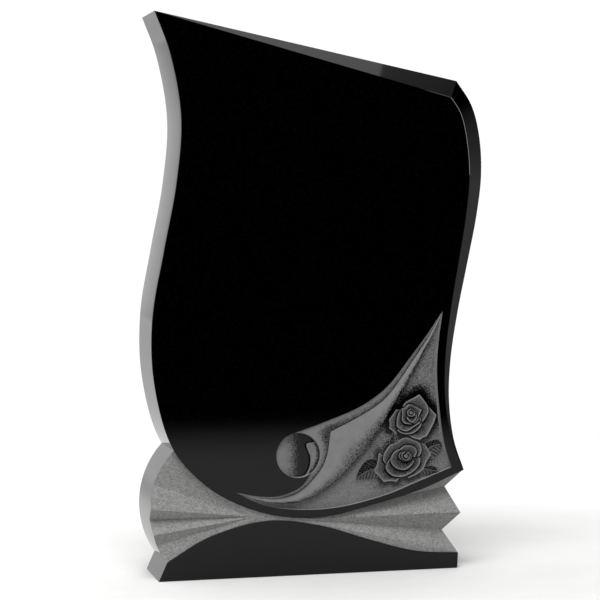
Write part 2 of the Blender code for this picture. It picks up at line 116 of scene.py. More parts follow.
# How finely curves and surfaces are cut, and how near counts as the same
FACET = 4.0 * MM
FINE_FACET = 1.5 * MM
RELIEF_GRID = 1.25 * MM
ROSE_GRID = 0.9 * MM
BAND_GRID = 1.7 * MM
GRID_CELL = 0.6
GRID_STEP = 0.4
MITRE_LIMIT = 0.3
ROUNDING = 6
SAME_PLACE = 1e-6
NET_TOLERANCE = 1e-7
LEAST_GAP = 1e-5
PARALLEL = 1e-12
NO_LENGTH = 1e-18
CLEARANCE = 0.001 * MM
FULL_TURN = 2 * math.pi

# Corners of the stone
TOP_LEFT = (-2808, 10000)
TOP_RIGHT = (2837, 8895)
LOWER_RIGHT = (2884, 1797)
BASE_TOP_RIGHT = (2781, 280)
BASE_FOOT_RIGHT = (2765, 0)
BASE_FOOT_LEFT = (-2765, 0)
BASE_TOP_LEFT = (-2615, 335)

# Free curves of the outline, from one corner to the next
LEFT_AND_UNDERSIDE = [
    TOP_LEFT, (-2555, 9320), (-2360, 8170), (-2449, 7010), (-2667, 5850),
    (-2864, 4690), (-2840, 3520), (-2515, 2360), (-1972, 1717), (-1357, 1330),
    (-583, 1080), (268, 1039), (1222, 1240), (2045, 1460), LOWER_RIGHT,
]
RIGHT_SIDE = [
    LOWER_RIGHT, (2706, 2351), (2627, 3080), (2669, 3816), (2819, 4688), (3015, 5560),
    (3206, 6432), (3308, 7180), (3281, 7883), (3126, 8460), TOP_RIGHT,
]
BASE_ARCH = [
    BASE_TOP_LEFT, (-1859, 752), (-816, 1003), (166, 882), (1223, 548), (2000, 340), BASE_TOP_RIGHT,
]
FAN_CENTRE = (-1321, 1222)
RIGHT_TEETH = [BASE_TOP_RIGHT, (2528, 682), (2832, 1008), (2582, 1477), LOWER_RIGHT]

# Flutes: the neck each fan spreads from, and for each arris or groove the share of the full flute depth
LEFT_NECK = (-1038, 1084)
RIGHT_NECK = (-204, 1007)
LEFT_FLUTE_HEIGHTS = [630, 820, 1080, 1280, 1700, 2090]
LEFT_FLUTE_SHARES = [0.00, 0.45, 0.00, 0.85, 0.00, 0.80, 0.42, 0.28]
RIGHT_FLUTE_SHARES = [0.00, 0.95, 0.00, 1.00, 0.10]

# The sunk corner's outline and its turned-back sheet
TIP = (2468, 4719)
TAIL = (-1408, 1546)
SUNK_CORNER = (2642, 1854)
SUNK_RIGHT = [SUNK_CORNER, (2498, 2339), (2400, 3039), (2360, 3650), (2397, 4215), TIP]
SUNK_UNDER = [TAIL, (-878, 1296), (-264, 1186), (475, 1197), (1397, 1391), (2025, 1622), SUNK_CORNER]
CURL_CENTRE = (-233, 2160)
CURL_RADIUS = 0.0405 * HEIGHT
CURL_START_ANGLE = math.radians(104)
CURL_END_ANGLE = math.radians(-52)
ROLL_EDGE = [TIP, (2202, 4334), (1877, 3912), (1393, 3334), (928, 3016), (300, 2765)]
TAIL_EDGE = [(-190, 1592), (-586, 1442), (-990, 1452), TAIL]
CREASE_KINK = (377, 2565)
ROLL_CREASE = [TIP, (2263, 4333), (1950, 3864), (1410, 3150), (990, 2865), CREASE_KINK]
TAIL_CREASE = [CREASE_KINK, (296, 2093), (163, 1839), (-264, 1466), (-849, 1402), TAIL]
SHEET_EDGE = [
    TIP, (2275, 4287), (1914, 3633), (1602, 3110), (1085, 2321), (475, 1684),
    (-117, 1346), (-703, 1325), TAIL,
]
FLAP = [(112, 2386), (-58, 2341), (16, 2102), (1, 1930), (-73, 1788)]

# Each rose: its centre, and its petals from the back to the front, the outer ones first. A petal's rim is
# drawn as sides that meet at its points; the petal closes through the rose's centre.
OUTER_PETALS = 5
LOWER_ROSE_CENTRE = (1780, 2080)
LOWER_ROSE = [
    [[(2060, 2310), (2150, 2280), (2213, 2186), (2269, 2099)],
     [(2269, 2099), (2188, 1974), (2113, 1824), (1988, 1736), (1838, 1675)]],
    [[(1330, 2110), (1292, 2149), (1264, 2000), (1189, 1824)],
     [(1189, 1824), (1300, 1711), (1375, 1624)],
     [(1375, 1624), (1490, 1636), (1612, 1620)], [(1612, 1620), (1670, 1700)]],
    [[(1420, 1940), (1362, 2024), (1400, 2161), (1500, 2292)],
     [(1500, 2292), (1600, 2325), (1738, 2405), (1813, 2414), (1900, 2380), (2050, 2299), (2081, 2149),
      (1988, 2011)]],
    [[(1490, 2030), (1431, 1949), (1413, 1861), (1525, 1736), (1725, 1711), (1913, 1786), (2050, 1936),
      (2056, 2036)]],
    [[(1656, 2180), (1750, 2261), (1825, 2274), (1913, 2261), (1975, 2211), (1988, 2136), (1950, 2060)]],
    [[(1650, 2205), (1563, 2149), (1500, 2011), (1575, 1886), (1738, 1830), (1825, 1855), (1900, 1924),
      (1944, 1986)]],
    [[(1690, 2160), (1650, 2086), (1675, 2036), (1740, 1990), (1810, 1985), (1880, 2030), (1900, 2110)]],
    [[(1765, 2165), (1712, 2135), (1702, 2075), (1740, 2018), (1800, 2003), (1850, 2040), (1866, 2095),
      (1835, 2155)]],
    [[(1780, 2045), (1745, 2080), (1780, 2115), (1822, 2080), (1780, 2045)]],
]
UPPER_ROSE_CENTRE = (1869, 2840)
UPPER_ROSE = [
    [[(2215, 2980), (2294, 2891), (2370, 2814)],
     [(2370, 2814), (2317, 2669), (2239, 2524), (2183, 2430)],
     [(2183, 2430), (2117, 2412), (2056, 2367)], [(2056, 2367), (1906, 2419), (1820, 2480)]],
    [[(1739, 2988), (1772, 3040), (1830, 3080), (1928, 3124), (2048, 3191)],
     [(2048, 3191), (2128, 3091), (2200, 2980), (2211, 2868), (2106, 2691)]],
    [[(1690, 2910), (1625, 2930), (1561, 2857), (1474, 2746)],
     [(1474, 2746), (1489, 2657), (1478, 2590)], [(1478, 2590), (1533, 2551), (1600, 2480)]],
    [[(1630, 2550), (1717, 2496), (1883, 2485), (2028, 2568), (2083, 2679), (2044, 2801)]],
    [[(1680, 2925), (1628, 2790), (1617, 2623)],
     [(1617, 2623), (1728, 2546), (1817, 2540), (1939, 2612), (2061, 2690)]],
    [[(1900, 2655), (1750, 2685), (1711, 2746), (1717, 2835), (1706, 2946)],
     [(1706, 2946), (1761, 2951), (1850, 3018), (1956, 2984), (2083, 2918)],
     [(2083, 2918), (2028, 2812), (2017, 2746), (1940, 2665)]],
    [[(1800, 2770), (1833, 2724), (1889, 2690), (1944, 2714), (1990, 2790), (1970, 2850)]],
    [[(1806, 2868), (1833, 2912), (1878, 2940), (1922, 2918), (1950, 2862), (1933, 2815), (1878, 2800),
      (1822, 2824), (1806, 2868)]],
    [[(1850, 2870), (1878, 2902), (1905, 2880), (1885, 2842), (1850, 2870)]],
]

# Leaves: each one's rib, then its edges above and below, all running to the tip
LEAVES = [
    [[(1240, 1880), (1010, 1800), (831, 1686)],
     [(1240, 2045), (1113, 2043), (1013, 2000), (930, 1890), (831, 1686)],
     [(1270, 1700), (1125, 1674), (960, 1668), (831, 1686)]],
    [[(2190, 2180), (2313, 2249), (2485, 2285)],
     [(2150, 2300), (2225, 2340), (2320, 2362), (2410, 2358), (2485, 2285)],
     [(2200, 2010), (2325, 2030), (2425, 2086), (2475, 2180), (2485, 2285)]],
    [[(2110, 1840), (2300, 1800), (2440, 1772)],
     [(2150, 1880), (2300, 1888), (2380, 1850), (2440, 1772)],
     [(2060, 1740), (2200, 1712), (2330, 1733), (2440, 1772)]],
    [[(1590, 2330), (1582, 2450), (1572, 2585)],
     [(1480, 2310), (1505, 2430), (1548, 2500), (1572, 2585)],
     [(1670, 2360), (1635, 2420), (1608, 2500), (1572, 2585)]],
]
VEIN_SPACING = 7.0 * MM


# Lines in the plane of the front are rows of points

def full_size(points):
    """Drawn points in metres."""
    return np.asarray(points, float) / DRAWN_HEIGHT * HEIGHT


def smooth_line(knots, facet=FINE_FACET):
    """A smooth curve through a few points, cut into facets of about the given length."""
    row = np.vstack([2 * knots[0] - knots[1], knots, 2 * knots[-1] - knots[-2]])
    line = [knots[:1]]
    for p0, p1, p2, p3 in zip(row, row[1:], row[2:], row[3:]):
        k0 = math.sqrt(math.dist(p0, p1))
        k1 = math.sqrt(math.dist(p1, p2))
        k2 = math.sqrt(math.dist(p2, p3))
        steps = max(1, round(math.dist(p1, p2) / facet))
        t = (k0 + k1 * np.arange(1, steps + 1) / steps)[:, None]
        a1 = p0 + (p1 - p0) * t / k0
        a2 = p1 + (p2 - p1) * (t - k0) / k1
        a3 = p2 + (p3 - p2) * (t - k0 - k1) / k2
        b1 = a1 + (a2 - a1) * t / (k0 + k1)
        b2 = a2 + (a3 - a2) * (t - k0) / (k1 + k2)
        piece = b1 + (b2 - b1) * (t - k0) / k1
        piece[-1] = p2
        line.append(piece)
    return np.vstack(line)


def drawn_line(points, facet=FINE_FACET):
    return smooth_line(full_size(points), facet)


def arc(centre, radius, start, end, facet):
    steps = max(2, round(abs(end - start) * radius / facet))
    angles = np.linspace(start, end, steps + 1)
    return centre + radius * np.stack([np.cos(angles), np.sin(angles)], axis=1)


def crossing(line, other):
    """The first place where two lines cross, with the number of the side of the first line."""
    for i, (a, b) in enumerate(zip(line, line[1:])):
        for c, d in zip(other, other[1:]):
            turn = (b[0] - a[0]) * (d[1] - c[1]) - (b[1] - a[1]) * (d[0] - c[0])
            if abs(turn) < PARALLEL:
                continue
            t = ((c[0] - a[0]) * (d[1] - c[1]) - (c[1] - a[1]) * (d[0] - c[0])) / turn
            u = ((c[0] - a[0]) * (b[1] - a[1]) - (c[1] - a[1]) * (b[0] - a[0])) / turn
            if 0.0 <= t <= 1.0 and 0.0 <= u <= 1.0:
                return i, a + (b - a) * t
    raise ValueError("the two lines don't cross")


def offset_line(line, widths, side):
    """A line moved sideways by its own width at each point: side 1 is its left and -1 its right."""
    before = np.vstack([line[:1], line[:-1]])
    after = np.vstack([line[1:], line[-1:]])
    along = after - before
    along /= np.linalg.norm(along, axis=1, keepdims=True)
    across = np.stack([-along[:, 1], along[:, 0]], axis=1)
    return line + across * side * np.asarray(widths)[:, None]


def inset_loop(loop, width):
    """A closed loop drawn inwards by one width, mitred at its corners."""
    area = np.sum(loop[:, 0] * np.roll(loop[:, 1], -1) - np.roll(loop[:, 0], -1) * loop[:, 1])
    along = np.roll(loop, -1, axis=0) - loop
    along /= np.linalg.norm(along, axis=1, keepdims=True)
    inward = np.stack([-along[:, 1], along[:, 0]], axis=1) * math.copysign(1.0, area)
    before = np.roll(inward, 1, axis=0)
    middle = inward + before
    middle /= np.maximum(np.sum(middle * inward, axis=1, keepdims=True), MITRE_LIMIT)
    return loop + middle * width


def inside(points, loop):
    """Which points lie in a closed loop, by counting the loop's sides to their right."""
    order = np.argsort(points[:, 1])
    x, z = points[order].T
    odd = np.zeros(len(points), bool)
    for (x0, z0), (x1, z1) in zip(loop, np.roll(loop, -1, axis=0)):
        level = slice(*np.searchsorted(z, (min(z0, z1), max(z0, z1))))
        if level.start < level.stop:
            odd[level] ^= x[level] < x0 + (z[level] - z0) / (z1 - z0) * (x1 - x0)
    result = np.zeros(len(points), bool)
    result[order] = odd
    return result


def distance_to(points, line, closed=False):
    """The distance from each point to the nearest place on a line."""
    if closed:
        line = np.vstack([line, line[:1]])
    best = np.full(len(points), np.inf)
    for a, b in zip(line, line[1:]):
        side = b - a
        share = np.clip((points - a) @ side / max(side @ side, NO_LENGTH), 0.0, 1.0)
        gap = points - a - share[:, None] * side
        best = np.minimum(best, np.einsum("ij,ij->i", gap, gap))
    return np.sqrt(best)


def ease(value, start, end):
    """0 before start, 1 after end, and a smooth rise between them."""
    t = np.clip((value - start) / (end - start), 0.0, 1.0)
    return t * t * (3.0 - 2.0 * t)


def fade(value, start, end):
    return 1.0 - ease(value, start, end)


def way_between(first, second):
    """0 on one line and 1 on another, from the distances to the two."""
    return first / np.maximum(first + second, LEAST_GAP)


# The tablet's left side and underside, cut where the left fan's round end starts
left_and_under = drawn_line(LEFT_AND_UNDERSIDE, FACET)
fan_centre = full_size(FAN_CENTRE)
fan_circle = arc(fan_centre, FAN_RADIUS, math.radians(90), math.radians(270), FACET)
cut, fan_top = crossing(left_and_under, fan_circle)
tablet_left = np.vstack([left_and_under[:cut + 1], fan_top])
tablet_under = np.vstack([fan_top, left_and_under[cut + 1:]])

# The left fan's round end runs down to the base's slanted end
past_the_fan = 1.5
base_slope = np.stack([full_size(BASE_FOOT_LEFT), full_size(BASE_TOP_LEFT)])
base_slope[1] = base_slope[0] + (base_slope[1] - base_slope[0]) * past_the_fan
cut, base_top_left = crossing(base_slope, fan_circle)
flute_ends = [base_top_left]
for height in full_size(LEFT_FLUTE_HEIGHTS):
    rise = height - fan_centre[1]
    flute_ends.append(np.array([fan_centre[0] - math.sqrt(FAN_RADIUS ** 2 - rise ** 2), height]))
flute_ends = np.vstack(flute_ends + [fan_top])
end_angles = np.arctan2(flute_ends[:, 1] - fan_centre[1], flute_ends[:, 0] - fan_centre[0]) % FULL_TURN
fan_end_line = [flute_ends[:1]]
for i in range(len(flute_ends) - 1):
    piece = arc(fan_centre, FAN_RADIUS, end_angles[i], end_angles[i + 1], FACET)
    fan_end_line.append(np.vstack([piece[1:-1], flute_ends[i + 1]]))
fan_end_line = np.vstack(fan_end_line)

right_side = drawn_line(RIGHT_SIDE, FACET)
right_teeth = full_size(RIGHT_TEETH)
base_arch = np.vstack([base_top_left, drawn_line(BASE_ARCH, FACET)[1:]])
base_foot = full_size([BASE_FOOT_LEFT, BASE_FOOT_RIGHT])
top_left = full_size(TOP_LEFT)
top_right = full_size(TOP_RIGHT)

# The chamfer is as wide as it is deep. It grows from nothing at the top left to full width at the top
# right, and fades out again to nothing at the lower right.
corner_height = full_size(LOWER_RIGHT)[1]
share = np.clip((right_side[:, 1] - corner_height) / (CHAMFER_FADE_TOP - corner_height), 0.0, 1.0)
right_depths = CHAMFER_WIDTH * share ** CHAMFER_FADE_POWER
chamfer_right = offset_line(right_side, right_depths, side=1)
top_slope = offset_line(np.stack([top_left, top_right]), [0.0, CHAMFER_WIDTH], side=-1)
past_the_corner = 1.1
top_slope[1] = top_slope[0] + (top_slope[1] - top_slope[0]) * past_the_corner
cut, chamfer_corner = crossing(chamfer_right, top_slope)
chamfer_right = np.vstack([chamfer_right[:cut + 1], chamfer_corner])

share = np.clip((tablet_left[:, 1] - SIDE_BEVEL_LOW) / (SIDE_BEVEL_HIGH - SIDE_BEVEL_LOW), 0.0, 1.0)
left_widths = SIDE_BEVEL_WIDTH * np.maximum(np.sin(math.pi * share), 0.0) ** SIDE_BEVEL_FADE
left_widths[left_widths < LEAST_BEVEL] = 0.0
left_depths = left_widths * SIDE_BEVEL_DEPTH / SIDE_BEVEL_WIDTH
bevel_left = offset_line(tablet_left, left_widths, side=1)

outline = np.vstack([tablet_left[:-1], fan_end_line[::-1], base_foot, right_teeth[:-1], right_side])
tablet_outer = np.vstack([tablet_left[:-1], tablet_under[:-1], right_side])
tablet_front = np.vstack([bevel_left[:-1], tablet_under[:-1], chamfer_right])
base_front = np.vstack([base_arch, base_foot[::-1]])
tablet_inset = inset_loop(tablet_front, ARRIS)
base_inset = inset_loop(base_front, ARRIS)

# The sunk corner
curl_centre = full_size(CURL_CENTRE)
curl_rest = arc(curl_centre, CURL_RADIUS, CURL_END_ANGLE, CURL_START_ANGLE, FINE_FACET)
curl_far = arc(curl_centre, CURL_RADIUS, CURL_START_ANGLE, CURL_END_ANGLE + FULL_TURN, FINE_FACET)
curl_loop = np.vstack([curl_far[:-1], curl_rest[:-1]])
roll_edge = smooth_line(np.vstack([full_size(ROLL_EDGE), curl_far[:1]]))
tail_edge = smooth_line(np.vstack([curl_rest[:1], full_size(TAIL_EDGE)]))
roll_crease = np.vstack([drawn_line(ROLL_CREASE), drawn_line(TAIL_CREASE)[1:]])
sheet_edge = drawn_line(SHEET_EDGE)
sunk_right = drawn_line(SUNK_RIGHT)
sunk_under = drawn_line(SUNK_UNDER)
strip_outer = np.vstack([roll_edge, curl_rest[::-1][1:], tail_edge[1:]])
strip_loop = np.vstack([strip_outer, roll_crease[::-1][1:-1]])
sheet_loop = np.vstack([roll_crease, sheet_edge[::-1][1:-1]])
field_loop = np.vstack([sheet_edge[:-1], sunk_under[:-1], sunk_right[:-1]])
flap_line = drawn_line(FLAP)
flap_loop = np.vstack([flap_line, curl_rest[curl_rest[:, 1] < flap_line[0][1]]])


# The areas of the front. The surface of each gives the depth below the front plane and the etching's tone

POLISHED, TOOLED, ETCHED, FINELY_ETCHED, SAWN = range(5)
areas = []


def lay(name, loop, surface, finish, within=None):
    """One more area of the front, over those that are already there."""
    areas.append({"name": name, "loop": loop, "surface": surface, "finish": finish, "within": within})


def eased_face(loop, slight=None):
    """A flat polished face whose rim falls away by one arris, and by less along a given line."""

    def surface(points):
        depth = np.maximum(ARRIS - distance_to(points, loop, closed=True), 0.0)
        if slight is not None:
            depth[distance_to(points, slight) < SAME_PLACE] = SLIGHT_ARRIS
        return depth, np.zeros(len(points))

    return surface


edge_depths = {}
for line, line_depths in ((right_side, right_depths), (tablet_left, left_depths)):
    for point, depth in zip(line.round(ROUNDING), line_depths):
        edge_depths[tuple(point)] = depth


def chamfer(points):
    """Barely sunk along its inner line, and at its own depth on the outline."""
    depths = [max(ARRIS, edge_depths[key]) if key in edge_depths else SLIGHT_ARRIS
              for key in map(tuple, points.round(ROUNDING))]
    return np.array(depths), np.zeros(len(points))


def fluted_band(points):
    """Flutes that deepen from the neck to the fan's end, between straight arrises."""
    depth = np.full(len(points), BAND_RECESS)
    fans = (
        (full_size(LEFT_NECK), flute_ends, LEFT_FLUTE_SHARES, -1.0),
        (full_size(RIGHT_NECK), right_teeth, RIGHT_FLUTE_SHARES, 1.0),
    )
    for neck, ends, shares, side in fans:
        run = side * (points[:, 0] - neck[0])
        ahead = run > 0.0
        slope = (points[ahead, 1] - neck[1]) / run[ahead]
        end_runs = side * (ends[:, 0] - neck[0])
        end_slopes = (ends[:, 1] - neck[1]) / end_runs
        reach = np.interp(slope, end_slopes, end_runs)
        share = np.interp(slope, end_slopes, shares)
        depth[ahead] += FLUTE_DEPTH * share * np.minimum(run[ahead] / reach, 1.0)
    return depth, np.ones(len(points))


def away_from_tips(points):
    """0 at the sheet's two tips and 1 in its middle, with the share of the full depth that goes with it."""
    from_tail = np.linalg.norm(points - full_size(TAIL), axis=1)
    from_tip = np.linalg.norm(points - full_size(TIP), axis=1)
    away = ease(from_tail, 0.0, TAIL_FADE) * ease(from_tip, 0.0, TIP_FADE)
    return away, TIP_DEPTH_SHARE + (1.0 - TIP_DEPTH_SHARE) * away


def rolled_strip(points):
    """The sheet's turned-back edge: it rolls down into the crease, and is pecked darker there."""
    outer = distance_to(points, strip_outer)
    crease = distance_to(points, roll_crease)
    share = way_between(outer, crease)
    away, part = away_from_tips(points)
    depth = (SHEET_EDGE_DEPTH + (CREASE_DEPTH - SHEET_EDGE_DEPTH) * share ** 1.8) * part
    tone = STRIP_TONE - 0.56 * share ** 1.2 * away
    near_kink = fade(np.linalg.norm(points - full_size(CREASE_KINK), axis=1), 10 * MM, 42 * MM)
    tone *= 1.0 - 0.30 * near_kink * ease(share, 0.15, 0.6)
    line = fade(crease, 0.2 * MM, 1.6 * MM) * ease(outer + crease, 2 * MM, 8 * MM)
    tone *= 1.0 - 0.8 * line
    return depth, tone


def open_sheet(points):
    """The sheet's face rises from the crease to its free edge, and is stippled darker on the way there."""
    crease = distance_to(points, roll_crease)
    edge = distance_to(points, sheet_edge)
    share = way_between(crease, edge)
    away, part = away_from_tips(points)
    depth = (SHEET_EDGE_DEPTH + (CREASE_DEPTH - SHEET_EDGE_DEPTH) * (1.0 - share) ** 1.6) * part
    tone = SHEET_TONE - 0.52 * ease(share, 0.30, 1.0) * away
    line = fade(edge, 0.3 * MM, 1.4 * MM) * ease(crease + edge, 2 * MM, 8 * MM)
    tone *= 1.0 - 0.75 * line
    return depth, tone


def curled_end(points):
    """The hollow inside the curl: pecked at the left, bare polish at the right, with a light rim."""
    across = np.clip((points[:, 0] - curl_centre[0] + CURL_RADIUS) / (2 * CURL_RADIUS), 0.0, 1.0)
    depth = SHEET_EDGE_DEPTH + (CURL_DEPTH - SHEET_EDGE_DEPTH) * across ** 0.7
    rim = distance_to(points, curl_loop, closed=True)
    return depth, CURL_TONE * np.maximum(fade(across, 0.10, 0.72), fade(rim, 0.6 * MM, 1.5 * MM))


def curl_flap(points):
    """The inner end of the sheet inside the curl."""
    rim = distance_to(points, curl_rest)
    inner = distance_to(points, flap_line)
    depth = CREASE_DEPTH * (1.0 + rim / (2 * CURL_RADIUS))
    tone = FLAP_TONE + 0.50 * ease(rim, 0.5 * MM, 9.0 * MM)
    return depth, np.maximum(tone, FLAP_RIM_TONE * fade(inner, 0.5 * MM, 1.5 * MM))


lay("band", outline, fluted_band, TOOLED)
lay("base", base_front, eased_face(base_front), POLISHED)
lay("chamfer", tablet_outer, chamfer, POLISHED)
inner_line = np.vstack([chamfer_right, top_left])
lay("tablet", tablet_front, eased_face(tablet_front, slight=inner_line), POLISHED)
lay("strip", strip_loop, rolled_strip, ETCHED)
lay("curl", curl_loop, curled_end, ETCHED)
lay("flap", flap_loop, curl_flap, ETCHED, within=curl_loop)
lay("sheet", sheet_loop, open_sheet, ETCHED)


def petal_rim(sides):
    """A petal's rim: smooth sides joined at its points."""
    pieces = [drawn_line(side) for side in sides]
    return np.vstack([pieces[0]] + [piece[1:] for piece in pieces[1:]])


def rose_petals(centre, petals):
    """All petals of a rose in the order they lie over each other: closed loop, rim and rim depth."""
    fall = (ROSE_RIM_DEPTH - ROSE_TOP_DEPTH) / (len(petals) - 1)
    made = []
    for number, sides in enumerate(petals):
        rim = petal_rim(sides)
        whole = math.dist(rim[0], rim[-1]) < SAME_PLACE
        loop = rim[:-1] if whole else np.vstack([rim, full_size(centre)])
        made.append((loop, rim, ROSE_RIM_DEPTH - fall * number))
    return made


def petal(petals, number):
    """A petal curls up to a light rim, and goes down into a dark groove where the next ones cover it."""

    def surface(points):
        _, rim_line, rim_depth = petals[number]
        rim = distance_to(points, rim_line)
        cover = np.full(len(points), 1.0)
        for other, _, _ in petals[number + 1:]:
            gap = distance_to(points, other, closed=True)
            gap[inside(points, other)] = 0.0
            cover = np.minimum(cover, gap)
        share = way_between(rim, cover)
        lip = np.exp(-(rim / PETAL_LIP) ** 2)
        depth = rim_depth + PETAL_STEP * share ** 1.3 - LIP_RISE * lip
        tone = PETAL_TONE - 0.34 * share ** 0.8 + LIP_TONE * lip
        tone *= 0.10 + 0.90 * ease(cover, 0.2 * MM, 4.2 * MM)
        tone *= 1.0 - 0.30 * number / len(petals)
        return depth, tone

    return surface


def leaf_loop(rib, above, below):
    return np.vstack([drawn_line(above), drawn_line(below)[::-1][1:]])


def leaf(rib, above, below):
    """A leaf with a raised rib and light veins on a dark blade."""
    spine = drawn_line(rib)
    start, tip = spine[0], spine[-1]
    along = (tip - start) / math.dist(start, tip)
    edges = [drawn_line(above), drawn_line(below)]

    def surface(points):
        to_above, to_below = (distance_to(points, edge) for edge in edges)
        rim = np.minimum(to_above, to_below)
        off = distance_to(points, spine)
        run = (points - start) @ along
        depth = LEAF_EDGE_DEPTH + (LEAF_RIB_DEPTH - LEAF_EDGE_DEPTH) * way_between(rim, off)
        vein = 0.5 + 0.5 * np.cos(FULL_TURN * (run - 0.8 * off) / VEIN_SPACING)
        strength = np.where(to_below < to_above, 0.36, 0.10)
        tone = LEAF_TONE + strength * vein ** 2 * ease(off, 0.5 * MM, 3.0 * MM)
        tone = np.maximum(tone, RIB_TONE * fade(off, 0.3 * MM, 1.2 * MM))
        return depth, np.maximum(tone, LEAF_RIM_TONE * fade(rim, 0.3 * MM, 1.3 * MM))

    return surface


roses = [rose_petals(UPPER_ROSE_CENTRE, UPPER_ROSE), rose_petals(LOWER_ROSE_CENTRE, LOWER_ROSE)]
outer_petals = [loop for petals in roses for loop, _, _ in petals[:OUTER_PETALS]]


def sunk_field(points):
    """The floor of the corner: pecked light, and left dark round the flowers and along the sheet's edge,
    with a painted highlight along its outer border where the sunk wall catches the light.
    """
    edge = distance_to(points, sheet_edge)
    border = np.minimum(distance_to(points, sunk_right), distance_to(points, sunk_under))
    upper = ease(points[:, 1], 0.22 * HEIGHT, 0.30 * HEIGHT)
    flowers = np.min([distance_to(points, loop, closed=True) for loop in outer_petals], axis=0)
    tone = FIELD_TONE - 0.10 * upper
    tone *= 1.0 - 0.28 * fade(flowers, 0.0, 42 * MM)
    tone *= 1.0 - (0.65 + 0.30 * upper) * fade(flowers, 0.5 * MM, (13 + 11 * upper) * MM)
    away, part = away_from_tips(points)
    tone *= 1.0 - 0.26 * fade(edge, 0.0, 12 * MM) * away
    # The light band along the outer border is a painted highlight for the lit edge of the sunk wall
    return FIELD_DEPTH * part, np.maximum(tone, BORDER_HIGHLIGHT_TONE * fade(border, 1.0 * MM, 3.0 * MM))


lay("field", field_loop, sunk_field, ETCHED)
for number, shape in enumerate(LEAVES):
    lay("leaf_" + str(number), leaf_loop(*shape), leaf(*shape), FINELY_ETCHED, within=field_loop)
for petals in roses:
    for number, (loop, _, _) in enumerate(petals):
        lay("petal_" + str(number), loop, petal(petals, number), FINELY_ETCHED, within=field_loop)


# The net and the block

def guide_lines():
    """Every line that the net must follow."""
    closed = [outline, tablet_inset, base_inset, curl_loop]
    closed += [area["loop"] for area in areas if area["name"].startswith(("petal", "leaf"))]
    lines = [np.vstack([loop, loop[:1]]) for loop in closed]
    lines += [tablet_under, base_arch, bevel_left, chamfer_right]
    lines.append(np.stack([top_left, chamfer_corner, top_right]))
    lines += [np.stack([full_size(LEFT_NECK), end]) for end in flute_ends[1:-1]]
    lines += [np.stack([full_size(RIGHT_NECK), end]) for end in right_teeth[1:-1]]
    lines += [roll_edge, tail_edge, roll_crease, sheet_edge, sunk_right, sunk_under, flap_line]
    lines += [drawn_line(rib) for rib, _, _ in LEAVES]
    return lines


def grid_inside(loops, holes, spacing, lines):
    """Evenly staggered points inside the loops but not in the holes, kept clear of the guide lines."""
    low = np.min([loop.min(axis=0) for loop in loops], axis=0)
    high = np.max([loop.max(axis=0) for loop in loops], axis=0)
    rows = np.arange(low[1], high[1], spacing * math.sqrt(0.75))
    points = []
    for number, z in enumerate(rows):
        x = np.arange(low[0] + (number % 2) * spacing / 2, high[0], spacing)
        points.append(np.stack([x, np.full(len(x), z)], axis=1))
    points = np.vstack(points)
    keep = np.zeros(len(points), bool)
    for loop in loops:
        keep |= inside(points, loop)
    for hole in holes:
        keep &= ~inside(points, hole)
    points = points[keep]
    cell = GRID_CELL * spacing
    taken = set()
    for line in lines:
        for a, b in zip(line, line[1:]):
            steps = max(1, math.ceil(math.dist(a, b) / (GRID_STEP * spacing)))
            for step in range(steps + 1):
                place = a + (b - a) * step / steps
                taken.add((round(place[0] / cell), round(place[1] / cell)))
    cells = (points / cell).round().astype(int)
    return points[[tuple(key) not in taken for key in cells]]


def weave_net():
    """All guide lines and grid points cut into one net of triangles, each with the area it lies in."""
    lines = guide_lines()
    points = []
    numbers = {}
    sides = set()

    def number_of(point):
        key = (round(float(point[0]), ROUNDING), round(float(point[1]), ROUNDING))
        if key not in numbers:
            numbers[key] = len(points)
            points.append(Vector(key))
        return numbers[key]

    for line in lines:
        row = [number_of(point) for point in line]
        sides |= {(min(a, b), max(a, b)) for a, b in zip(row, row[1:]) if a != b}
    grounds = [strip_loop, sheet_loop, field_loop, curl_loop]
    for point in np.vstack([
        grid_inside(grounds, outer_petals, RELIEF_GRID, lines),
        grid_inside(outer_petals, [], ROSE_GRID, lines),
        grid_inside([outline], [tablet_outer, base_front], BAND_GRID, lines),
    ]):
        number_of(point)
    net, _, triangles, _, _, _ = delaunay_2d_cdt(points, sorted(sides), [], 0, NET_TOLERANCE)
    flat = np.array([(point[0], point[1]) for point in net])
    triangles = np.array(triangles)
    a, b, c = flat[triangles[:, 0]], flat[triangles[:, 1]], flat[triangles[:, 2]]
    clockwise = (b[:, 0] - a[:, 0]) * (c[:, 1] - a[:, 1]) < (b[:, 1] - a[:, 1]) * (c[:, 0] - a[:, 0])
    triangles[clockwise] = triangles[clockwise][:, ::-1]
    middles = (a + b + c) / 3
    owner = np.full(len(triangles), -1)
    for number, area in enumerate(areas):
        mine = inside(middles, area["loop"])
        if area["within"] is not None:
            mine &= inside(middles, area["within"])
        owner[mine] = number
    in_stone = inside(middles, outline)
    return flat, triangles[in_stone], owner[in_stone]


